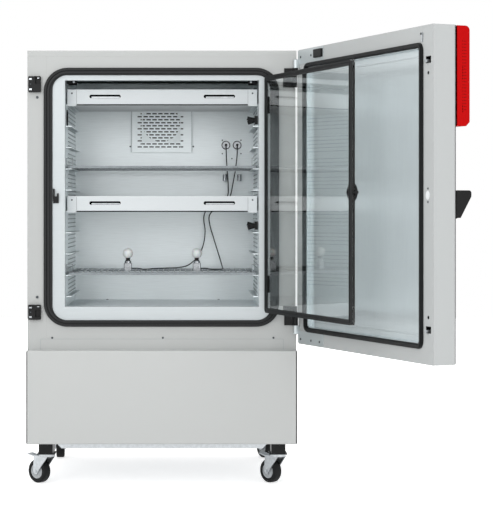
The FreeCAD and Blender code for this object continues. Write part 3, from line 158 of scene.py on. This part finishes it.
white_plastic = material("opal_globe", linear(226, 229, 229), 0.30, grain=200, spread=0.02, Subsurface_Weight=0.15)
aluminium = material("fin_aluminium", linear(200, 203, 206), 0.34, 0.95, grain=30, stretch=(1, 1, 60), spread=0.08)
# Black of the compressor and fan motor, also used as painted shade on the plates behind the grille slits.
machine_black = material("machine_black", linear(30, 31, 33), 0.5, grain=150, spread=0.15, Specular_IOR_Level=0.3)
wool = material("mineral_wool", linear(196, 178, 128), 0.9, grain=160, spread=0.25, bump=0.8, depth=0.002)
tyre = material("tyre_rubber", linear(18, 19, 20), 0.6, grain=220, spread=0.2, bump=0.3, Specular_IOR_Level=0.2)
hub_grey = material("hub_plastic", linear(176, 180, 183), 0.38, grain=260, spread=0.05, edge=0.0008)
cord_jacket = material("cord_jacket", linear(30, 33, 36), 0.45, grain=300, spread=0.12, Specular_IOR_Level=0.25)
# Painted shade: a near-black matte finish for liners, discs and strips that stand in for the shade inside slots, holes
# and gaps.
gap_shade = material("painted_recess_shade", linear(8, 9, 10), 0.8, grain=200, spread=0.2, Specular_IOR_Level=0.05)
grey_plastic = material("grey_plastic", linear(120, 124, 128), 0.42, grain=300, spread=0.06)
screen_glass = material("screen_glass", linear(24, 34, 44), 0.08, grain=6, spread=0.25, bump=0.02, Coat_Weight=0.6)
# Painted shade for the pressed wall ribs, darker than the wall steel so they show; also the colour of the sheet seam
# lines.
wall_shade = material("rib_shade_and_seam_line", linear(150, 158, 161), 0.4, 0.4, grain=60, spread=0.08)
mark_white = material("mark_white", linear(226, 229, 230), 0.5, grain=300, spread=0.03)


def clear_glass():
    """Thin clear pane with a slight green tint and very faint wiping marks."""
    made = material("clear_glass", (0.965, 0.985, 0.98), 0.012, grain=5, spread=0.008, rough_spread=0.008,
                    bump=0.01, IOR=1.45, Transmission_Weight=1.0)
    return made


glass = clear_glass()

NODE_FINISH = {
    body_paint: ("top_panel", "left_side_panel", "right_side_panel", "rear_panel", "front_frame", "service_strip"),
    cover_paint: ("lower_front_cover",),
    door_paint: ("door_shell",),
    steel_wall: ("chamber_shell", "air_baffle", "fan_grille", "shelf_rails"),
    steel_trim: ("inner_frame",),
    steel_door: ("door_inner_panel",),
    steel: ("door_hinge_leaves",),
    zinc: ("base_frame", "lock_bar", "caster_fork_front_left", "caster_fork_front_right",
           "caster_fork_rear_left", "caster_fork_rear_right", "brake_pedal_front_left", "brake_pedal_front_right"),
    wire: ("lower_shelf", "upper_shelf", "shelf_stops"),
    rubber: ("body_gasket", "door_gasket", "glass_gasket", "access_port"),
    black_plastic: ("door_strikers", "door_hinge_brackets", "glass_door_fittings", "glass_hinge_leaves", "glass_latch_knob",
                    "fan_impeller", "lamp_connectors", "power_inlet", "power_switch", "caster_mounts"),
    handle_black: ("door_handle", "door_handle_base"),
    red_plastic: ("control_housing",),
    white_paint: ("upper_light_cassette", "lower_light_cassette"),
    chrome: ("sensor_sockets",),
    screw_dark: ("panel_screws",),
    aluminium: ("heat_exchanger", "condenser"),
    machine_black: ("compressor", "fan_motor"),
    wool: ("insulation",),
    glass: ("glass_pane",),
}
for finish, names in NODE_FINISH.items():
    for name in names:
        mesh = frame["nodes"][name].data
        mesh.materials.clear()
        mesh.materials.append(finish)


# ---------------------------------------------------------------- building helpers
def add(name, verts, faces, finish, body, smooth=False, moved=None):
    """A mesh piece that rides on a body. Its points are in millimetres on the cabinet, or on a closed door."""
    mesh = bpy.data.meshes.new(name)
    points = [at(*point) for point in verts]
    if moved is not None:
        points = [moved @ point for point in points]
    mesh.from_pydata(points, [], faces)
    work = bmesh.new()
    work.from_mesh(mesh)
    bmesh.ops.recalc_face_normals(work, faces=work.faces)
    work.to_mesh(mesh)
    work.free()
    if smooth:
        mesh.shade_smooth()
    mesh.materials.append(finish)
    made = bpy.data.objects.new(name, mesh)
    bpy.context.scene.collection.objects.link(made)
    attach(made, body)
    return made


def joined(parts):
    """Several (points, faces) lists as one."""
    verts, faces = [], []
    for part_verts, part_faces in parts:
        start = len(verts)
        verts += part_verts
        faces += [[start + index for index in face] for face in part_faces]
    return verts, faces


def block(x_span, y_span, z_span, cut=0.4):
    """A block with its edges cut back, as points and faces."""
    work = bmesh.new()
    corners = [work.verts.new((x, y, z)) for x in x_span for y in y_span for z in z_span]
    for a, b, c, d in ((0, 1, 3, 2), (4, 5, 7, 6), (0, 1, 5, 4), (2, 3, 7, 6), (0, 2, 6, 4), (1, 3, 7, 5)):
        work.faces.new((corners[a], corners[b], corners[c], corners[d]))
    bmesh.ops.bevel(work, geom=work.edges[:], offset=cut, segments=2, profile=0.5, affect="EDGES", clamp_overlap=True)
    return taken(work)


def taken(work):
    work.verts.index_update()
    verts = [tuple(vert.co) for vert in work.verts]
    faces = [[vert.index for vert in face.verts] for face in work.faces]
    work.free()
    return verts, faces


def slab(outline, axis, low, high, cut=0.3):
    """A flat outline drawn out along an axis from low to high, its two rims cut back."""
    work = bmesh.new()
    place = {"x": lambda u, v, w: (w, u, v), "y": lambda u, v, w: (u, w, v), "z": lambda u, v, w: (u, v, w)}[axis]
    rims = [[work.verts.new(place(u, v, w)) for u, v in outline] for w in (low, high)]
    work.faces.new(rims[0])
    work.faces.new(rims[1])
    for index in range(len(outline)):
        after = (index + 1) % len(outline)
        work.faces.new((rims[0][index], rims[0][after], rims[1][after], rims[1][index]))
    if cut:
        edges = [edge for edge in work.edges if any(len(face.verts) > 4 for face in edge.link_faces)]
        bmesh.ops.bevel(work, geom=edges, offset=cut, segments=2, profile=0.5, affect="EDGES", clamp_overlap=True)
    return taken(work)


def rounded(u_span, v_span, radius, steps=6):
    """Outline of a rounded rectangle."""
    outline = []
    for turn, (u, v) in enumerate((
        (u_span[1] - radius, v_span[1] - radius), (u_span[0] + radius, v_span[1] - radius),
        (u_span[0] + radius, v_span[0] + radius), (u_span[1] - radius, v_span[0] + radius),
    )):
        for step in range(steps + 1):
            angle = math.radians(90 * turn + 90 * step / steps)
            outline.append((u + radius * math.cos(angle), v + radius * math.sin(angle)))
    return outline


def turned(profile, centre, axis, steps=48):
    """A profile of (radius, height) turned round an axis through a centre."""
    axis = Vector(axis).normalized()
    side = axis.orthogonal().normalized()
    other = axis.cross(side)
    verts, faces = [], []
    for radius, height in profile:
        for step in range(steps):
            angle = 2 * math.pi * step / steps
            point = Vector(centre) + axis * height + (side * math.cos(angle) + other * math.sin(angle)) * radius
            verts.append(tuple(point))
    for ring in range(len(profile) - 1):
        for step in range(steps):
            after = (step + 1) % steps
            faces.append([ring * steps + step, ring * steps + after, (ring + 1) * steps + after, (ring + 1) * steps + step])
    faces.append(list(range(steps)))
    faces.append([(len(profile) - 1) * steps + step for step in range(steps)])
    return verts, faces


def dome_screw(centre, axis, radius=3.5, height=1.8):
    """A screw head: a low dome with a cross cut drawn as a small well."""
    profile = [(radius, 0), (radius, 0.35 * height), (0.8 * radius, 0.8 * height), (0.45 * radius, height),
               (0.4 * radius, 0.5 * height)]
    return turned(profile, centre, axis, steps=20)


# ---------------------------------------------------------------- cords
SENSOR_CORDS = {
    "left": (0.8540, [
        (224, 507, 1163), (224, 496, 1162.5), (224.3, 487.5, 1154), (224.6, 486.5, 1140), (225.5, 488, 1113),
        (228, 489, 1066), (232, 490, 1012), (229, 493, 976), (212, 497, 951), (178, 500, 941), (152, 500, 925),
        (143, 499, 897), (148, 497, 852), (144, 494, 812), (133, 489, 778), (113, 480, 748), (84, 467, 726),
        (52, 450, 719), (8, 415, 718.2), (-31, 370, 718.2), (-53, 322, 718.2), (-62, 276, 718.4),
        (-70, 243, 719.6), (-79, 226, 722.4), (-92, 220, 724), (-108, 220, 724),
    ]),
    "right": (0.7643, [
        (265, 507, 1163), (265, 496, 1162.5), (264.8, 487.5, 1154), (264.5, 486.5, 1140), (263, 485, 1113),
        (257, 484.5, 1068), (248, 484.5, 1018), (238, 485, 976), (215, 486, 947), (183, 486.5, 930),
        (163, 487, 905), (166, 486.5, 868), (178, 485.5, 827), (191, 480, 784), (202, 469, 749), (208, 451, 727),
        (210, 425, 719), (211, 385, 718.2), (207, 335, 718.2), (197, 286, 718.2), (180, 248, 718.6),
        (162, 229, 721.4), (147, 220, 724), (131, 220, 724),
    ]),
}
CORD_THICKNESS = 0.004


def along(points, steps=10):
    """A smooth line through the points, with its points close together."""
    line = []
    count = len(points)
    for index in range(count - 1):
        before = points[max(index - 1, 0)]
        start = points[index]
        stop = points[index + 1]
        after = points[min(index + 2, count - 1)]
        gap = (stop - start).length
        lead_in = (stop - before) / max((start - before).length + gap, 1e-9) * gap
        lead_out = (after - start) / max((after - stop).length + gap, 1e-9) * gap
        for step in range(steps):
            share = step / steps
            line.append(
                start * (2 * share**3 - 3 * share**2 + 1) + lead_in * (share**3 - 2 * share**2 + share)
                + stop * (3 * share**2 - 2 * share**3) + lead_out * (share**3 - share**2)
            )
    line.append(points[-1])
    return line


for side, (length, route) in SENSOR_CORDS.items():
    line = along([at(*point) for point in route])
    curve = bpy.data.curves.new("sensor_lead_" + side, "CURVE")
    curve.dimensions = "3D"
    curve.bevel_depth = CORD_THICKNESS / 2
    curve.bevel_resolution = 4
    curve.use_fill_caps = True
    spline = curve.splines.new("POLY")
    spline.points.add(len(line) - 1)
    for point, place in zip(spline.points, line):
        point.co = (*place, 1)
    curve.materials.append(cord_jacket)
    lead = bpy.data.objects.new("sensor_lead_" + side, curve)
    bpy.context.scene.collection.objects.link(lead)
    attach(lead, "cabinet")
    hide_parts("sensor_cord_" + side)

# ---------------------------------------------------------------- light sensors
sensor_base, sensor_neck, sensor_globe = [], [], []
for x in (-122, 117):
    centre = (x, 220, 0)
    sensor_base.append(slab(rounded((x - 14, x + 14), (206, 234), 4), "z", 715.3, 742, 0.8))
    sensor_base.append(turned([(11, 742), (11.5, 743), (11.5, 748), (10.5, 750.3), (8, 750.3)], centre, (0, 0, 1)))
    sensor_neck.append(turned([(8, 750.3), (8, 754), (7, 754.6), (7, 757), (8, 757.6), (8, 761.5)], centre, (0, 0, 1), 32))
    globe = [(18 * math.sin(math.radians(angle)), 776.3 - 18 * math.cos(math.radians(angle))) for angle in range(24, 180, 6)]
    sensor_globe.append(turned(globe + [(0.2, 794.3)], centre, (0, 0, 1), 64))
base_piece = add("sensor_bases", *joined(sensor_base), chrome, "cabinet")
neck_piece = add("sensor_necks", *joined(sensor_neck), black_plastic, "cabinet")
globe_piece = add("sensor_globes", *joined(sensor_globe), white_plastic, "cabinet", smooth=True)
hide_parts("light_sensors")

# ---------------------------------------------------------------- casters
def to_cabinet(place):
    return ((place[0] - CENTRE_X) * 1000, (place[1] - FRONT_Y) * 1000, place[2] * 1000)


for corner in ("front_left", "front_right", "rear_left", "rear_right"):
    joint = JOINTS["wheel_spin_" + corner]
    centre = to_cabinet(joint["pos_m"])
    axis = joint["axis"]
    tread = [(25.3, -14.5), (33, -15.2), (37.5, -14.6), (39.6, -11), (40, -6), (40, 6), (39.6, 11), (37.5, 14.6), (33, 15.2),
             (25.3, 14.5), (25.3, -14.5)]
    tread_piece = add("tyre_" + corner, *turned(tread, centre, axis, 72), tyre, "wheel_" + corner, smooth=True)
    hub = [(5, -15.4), (9, -15.6), (9.6, -14.4), (11, -12.4), (20.5, -12.0), (22, -14.2), (24.6, -14.8), (25.2, -14.2),
           (25.2, 14.2), (24.6, 14.8), (22, 14.2), (20.5, 12.0), (11, 12.4), (9.6, 14.4), (9, 15.6), (5, 15.4)]
    hub_piece = add("hub_" + corner, *turned(hub, centre, axis, 64), hub_grey, "wheel_" + corner)
    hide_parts("caster_wheel_" + corner)

# ---------------------------------------------------------------- outer door details, laid out closed
door = opened("outer_door_swing", 112.2)
inner_face = -20


def on_door(name, parts, finish, smooth=False, body="outer_door"):
    return add(name, *joined(parts), finish, body, smooth, door)


def oval(u, v, half_u, half_v, steps=28):
    """Outline of an oval."""
    turns = [2 * math.pi * step / steps for step in range(steps)]
    return [(u + half_u * math.cos(turn), v + half_v * math.sin(turn)) for turn in turns]


# Painted shade: near-black liners inside the latch slots stand in for the shade within them.
on_door("latch_well_shade", [block((-431.5, -398.5), (-35, -34), (foot - 4, foot + 20)) for foot in (573, 1351)]
        + [block((x, x + 1), (-35, -21.6), (foot - 4, foot + 20)) for foot in (573, 1351) for x in (-432.5, -399.5)]
        + [block((-432, -399), (-35, -21.6), (z, z + 1)) for foot in (573, 1351) for z in (foot - 4, foot + 19)], gap_shade)
# Painted shade: flat dark discs on the inner face stand in for holes.
on_door("latch_hole_shade", [slab(oval(-415, z, 5, 5), "y", inner_face - 0.3, inner_face + 0.3, 0.1) for z in (617, 1321)], gap_shade)
on_door("boss_plate", [slab(oval(-413, 968.5, 9, 13), "y", inner_face - 0.3, inner_face + 2.6, 0.8)], mark_white)
on_door("boss_screws", [dome_screw((-413, inner_face - 0.1, z), (0, 1, 0), 3.2, 1.6) for z in (949, 988)], screw_dark)
on_door("guide_rod", [block((-385, -380), (inner_face, inner_face + 5), (1413, 1440), 0.8)], zinc)
on_door("guide_rod_eye", [turned([(1.4, 0), (3.4, 0), (3.4, 2), (1.4, 2)], (-382.5, inner_face + 5, 1436), (0, 1, 0), 20)], screw_dark)
on_door("hinge_plate_catch", [block((262, 318), (inner_face + 1.8, inner_face + 9), (1424, 1451), 1.2)], black_plastic)
on_door("hinge_plate_screws", [dome_screw((x, inner_face + 1.9, z), (0, 1, 0), 4, 1.8)
                               for x in (284, 346, 424) for z in (497, 1435) if (x, z) != (284, 1435)], screw_dark)
on_door("pan_rim_bands", [block((-368, 372), (-33.4, -33.0), (z, z + 1.2), 0.1) for z in (560, 1372)], steel)

# control housing: keypad front, screen, dial, vent holes painted as flat dark discs of shade
housing_face = -139
on_door("screen_frame", [slab(rounded((-422, -262), (1296, 1410), 6), "y", housing_face - 1.6, housing_face + 0.5, 0.6)], black_plastic)
on_door("screen", [slab(rounded((-412, -272), (1308, 1400), 3), "y", housing_face - 2.1, housing_face - 1.4, 0.3)], screen_glass)
on_door("screen_marks", [block((-404, -404 + width), (housing_face - 2.3, housing_face - 2.0), (z, z + 3), 0.1)
                         for z, width in ((1388, 52), (1374, 96), (1360, 74), (1346, 110), (1322, 40))], mark_white)
on_door("keys", [slab(rounded((x, x + 26), (1252, 1274), 4), "y", housing_face - 2.6, housing_face + 0.5, 0.8)
                 for x in (-419, -383, -347, -311)], grey_plastic)
on_door("dial", [turned([(13, 0), (13, 3), (11.5, 9), (10, 10), (0.5, 10)], (-340, housing_face, 1214), (0, -1, 0), 40)], black_plastic)
on_door("dial_mark", [block((-341, -339), (housing_face - 10.3, housing_face - 9.6), (1217, 1225), 0.1)], mark_white)
# Painted shade: flat dark discs stand in for the vent holes.
on_door("side_vent_shade", [turned([(1.1, 0), (1.1, 0.3)], (-445.0, y, z), (-1, 0, 0), 10)
                       for y in (-126, -121, -116) for z in range(1215, 1420, 9)], gap_shade)

# ---------------------------------------------------------------- glass door details, laid out closed
glass_turn = opened("glass_door_swing", 109.7)
add("glass_knob_back", *joined([turned([(4.3, 0), (13, 0), (13, 3.4), (11.5, 5.2), (4.3, 5.2), (4.3, 0)], (-321, -4.5, 979), (0, 1, 0), 40)]),
    black_plastic, "latch_knob", moved=glass_turn)
add("glass_edge_ridge", *joined([block((x, x + 5), (-12.4, -10.8), (592, 1364), 0.6) for x in (-342, 333)]
                                + [block((-338, 334), (-12.4, -10.8), (z, z + 5), 0.6) for z in (584.5, 1366.5)]),
    rubber, "glass_door", moved=glass_turn)

# ---------------------------------------------------------------- lamp trays
for level, bottom, body in (("lower", 923.3, "lower_cassette"), ("upper", 1283.3, "upper_cassette")):
    seams = [block((side * 289.5 - 0.6, side * 289.5 + 0.6), (53.1, 53.8), (bottom + 2, bottom + 47), 0.1) for side in (-1, 1)]
    add("tray_seams_" + level, *joined(seams), grey_plastic, body)
    screws = [dome_screw((side * 305, 53.6, bottom + 37), (0, -1, 0), 3.0, 1.4) for side in (-1, 1)]
    add("tray_screws_" + level, *joined(screws), screw_dark, body)
    shade = [block((-289, 289), (54.2, 57.5), (bottom - 3.4, bottom - 0.2), 0.3)]
    add("tray_shade_" + level, *joined(shade), gap_shade, body)
    # Painted shade: dark cups behind the grips stand in for the shade inside them.
    cups, lips = [], []
    for x in (-193, 193):
        cups.append(slab(rounded((x - 60, x + 60), (bottom + 16, bottom + 37), 8), "y", 63, 64, 0.3))
        lips.append(slab(rounded((x - 46, x + 50), (bottom + 21.5, bottom + 26), 2), "y", 56.5, 61, 0.5))
    add("grip_cup_shade_" + level, *joined(cups), gap_shade, body)
    add("grip_lips_" + level, *joined(lips), zinc, body)

# ---------------------------------------------------------------- chamber details
# The pressed wall ribs carry a darker colour than the wall steel: painted shade that makes them show.
ribs = []
for side in (-1, 1):
    for step in range(52):
        z = 642 + 14 * step
        if (z - 627) % 72 < 14:
            continue
        ribs.append(block(sorted((side * 325.3, side * 322.6)), (150, 500), (z, z + 3.2), 0.8))
add("wall_ribs", *joined(ribs), wall_shade, "cabinet")
# Painted shade: a dark liner and back plate behind the fan keep the grille slits dark.
shade_liner = [turned([(69.5, 0), (68.6, 0), (68.6, 44), (0.5, 44), (0.5, 45), (69.5, 45), (69.5, 0)], (-12, 527, 1244), (0, 1, 0), 72)]
add("fan_shade_liner", *joined(shade_liner), gap_shade, "cabinet")
# Painted shade: dark plates behind the grille slits outside the fan circle, so those slits read dark.
slit_shade_plates = [block(span, (523.6, 524.2), (1150, 1342), 0.1) for span in ((-108, -83), (59, 88))]
slit_shade_plates.append(block((-82, 58), (523.6, 524.2), (1150, 1173), 0.1))
add("grille_slit_shade_plates", *joined(slit_shade_plates), machine_black, "cabinet")
corner_blocks, corner_studs = [], []
for side in (-1, 1):
    for y in (70, 100):
        corner_blocks.append(block(sorted((side * 322, side * 292)), (y, y + 20), (1352, 1368), 1.5))
        corner_studs.append(dome_screw((side * 300, y, 1360), (0, -1, 0), 4, 2))
corner_blocks.append(block((-322, 322), (300, 306), (1372, 1378), 1))
add("lamp_clamps", *joined(corner_blocks), black_plastic, "cabinet")
add("lamp_clamp_studs", *joined(corner_studs), zinc, "cabinet")
seams = [block((x - 0.7, x + 0.7), (-0.35, 0.2), (459.5, 494), 0.1) for x in (-405.8, 405.8)]
seams.append(block((-405, 405), (-0.35, 0.2), (494.3, 495.2), 0.1))
seams += [block((x - 0.7, x + 0.7), (511.4, 512.4), (1137, 1353), 0.1) for x in (-119.4, 99.4)]
add("sheet_seams", *joined(seams), wall_shade, "cabinet")
rings = []
for x in (224, 265):
    rings.append(turned([(13.2, 0), (16, 0), (16, 1.6), (13.2, 1.6), (13.2, 0)], (x, 525, 1163), (0, -1, 0), 36))
add("socket_rings", *joined(rings), black_plastic, "cabinet")
plugs = [turned([(2.2, 0), (4.4, 0.4), (4.4, 9), (2.4, 10)], (x, 506.5, 1163), (0, -1, 0), 24) for x in (224, 265)]
add("lead_plugs", *joined(plugs), black_plastic, "cabinet")

# ---------------------------------------------------------------- strikers, cabinet rear and sides
plates, dots = [], []
for low, high in ((560, 610), (1320, 1373)):
    plates.append(block((-443, -434), (-15.0, -13.6), (low + 6, low + 12), 0.4))
    plates.append(block((-443, -434), (-15.0, -13.6), (high - 12, high - 7), 0.4))
    plates.append(block((-416, -409), (-15.0, -13.6), (high - 8, high - 5), 0.4))
    dots.append(dome_screw((-438, -14, (low + high) / 2), (0, -1, 0), 2.4, 1.2))
add("striker_plates", *joined(plates), chrome, "cabinet")
add("striker_screws", *joined(dots), screw_dark, "cabinet")
rear = []
for x in (-435, -150, 150, 435):
    for z in (165, 480, 800, 1120, 1440):
        rear.append(dome_screw((x, 719.8, z), (0, 1, 0), 4, 1.6))
add("rear_screws", *joined(rear), screw_dark, "cabinet")

# ---------------------------------------------------------------- floor, light
def seen_rays(tree):
    """1 for what is looked at straight, in a reflection or through a pane, 0 for light on the object."""
    ray = tree.nodes.new("ShaderNodeLightPath")
    either = tree.nodes.new("ShaderNodeMath")
    either.operation = "MAXIMUM"
    any_seen = tree.nodes.new("ShaderNodeMath")
    any_seen.operation = "MAXIMUM"
    tree.links.new(ray.outputs["Is Camera Ray"], either.inputs[0])
    tree.links.new(ray.outputs["Is Glossy Ray"], either.inputs[1])
    tree.links.new(either.outputs[0], any_seen.inputs[0])
    tree.links.new(ray.outputs["Is Transmission Ray"], any_seen.inputs[1])
    return any_seen.outputs[0]


floor_mesh = bpy.data.meshes.new("floor")
floor_mesh.from_pydata([(-9, -9, 0), (9, -9, 0), (9, 9, 0), (-9, 9, 0)], [], [(0, 1, 2, 3)])
floor = bpy.data.objects.new("floor", floor_mesh)
bpy.context.scene.collection.objects.link(floor)
pale = material("floor_pale", (0.86, 0.86, 0.86), 0.9, grain=3, spread=0.01, bump=0.0)
floor_tree = pale.node_tree
floor_shader = floor_tree.nodes["Principled BSDF"]
floor_place = floor_tree.nodes.new("ShaderNodeTexCoord")
floor_reach = floor_tree.nodes.new("ShaderNodeVectorMath")
floor_reach.operation = "LENGTH"
floor_glow = floor_tree.nodes.new("ShaderNodeMapRange")
floor_glow.interpolation_type = "SMOOTHSTEP"
floor_glow.inputs["From Min"].default_value = 0.7
floor_glow.inputs["From Max"].default_value = 2.2
floor_glow.inputs["To Min"].default_value = 0.58
floor_glow.inputs["To Max"].default_value = 1.1
floor_tree.links.new(floor_place.outputs["Object"], floor_reach.inputs[0])
floor_tree.links.new(floor_reach.outputs["Value"], floor_glow.inputs["Value"])
floor_seen = floor_tree.nodes.new("ShaderNodeMath")
floor_seen.operation = "MULTIPLY"
floor_tree.links.new(floor_glow.outputs["Result"], floor_seen.inputs[0])
floor_tree.links.new(seen_rays(floor_tree), floor_seen.inputs[1])
floor_tree.links.new(floor_seen.outputs["Value"], floor_shader.inputs["Emission Strength"])
floor_shader.inputs["Emission Color"].default_value = (1, 1, 1, 1)
floor_mesh.materials.append(pale)


def lamp(name, place, aim, size, power):
    data = bpy.data.lights.new(name, "AREA")
    data.shape = "RECTANGLE"
    data.size = size[0]
    data.size_y = size[1]
    data.energy = power
    made = bpy.data.objects.new(name, data)
    bpy.context.scene.collection.objects.link(made)
    made.location = place
    made.rotation_euler = (aim - place).to_track_quat("-Z", "Y").to_euler()


middle = at(100, 200, 800)
lamp("key", at(-1700, -3600, 2500), middle, (2.4, 2.4), 68)
lamp("fill", at(2100, -3900, 1500), middle, (2.4, 2.0), 42)
lamp("top", at(0, -300, 3900), at(0, 300, 0), (3.0, 3.0), 52)

world = bpy.data.worlds.new("studio")
bpy.context.scene.world = world
world.use_nodes = True
sky = world.node_tree
soft_light = sky.nodes["Background"]
soft_light.inputs["Color"].default_value = (1, 1, 1, 1)
soft_light.inputs["Strength"].default_value = 0.64
seen = sky.nodes.new("ShaderNodeBackground")
seen.inputs["Color"].default_value = (1, 1, 1, 1)
seen.inputs["Strength"].default_value = 1.0
blend = sky.nodes.new("ShaderNodeMixShader")
sky.links.new(seen_rays(sky), blend.inputs["Fac"])
sky.links.new(soft_light.outputs["Background"], blend.inputs[1])
sky.links.new(seen.outputs["Background"], blend.inputs[2])
sky.links.new(blend.outputs["Shader"], sky.nodes["World Output"].inputs["Surface"])
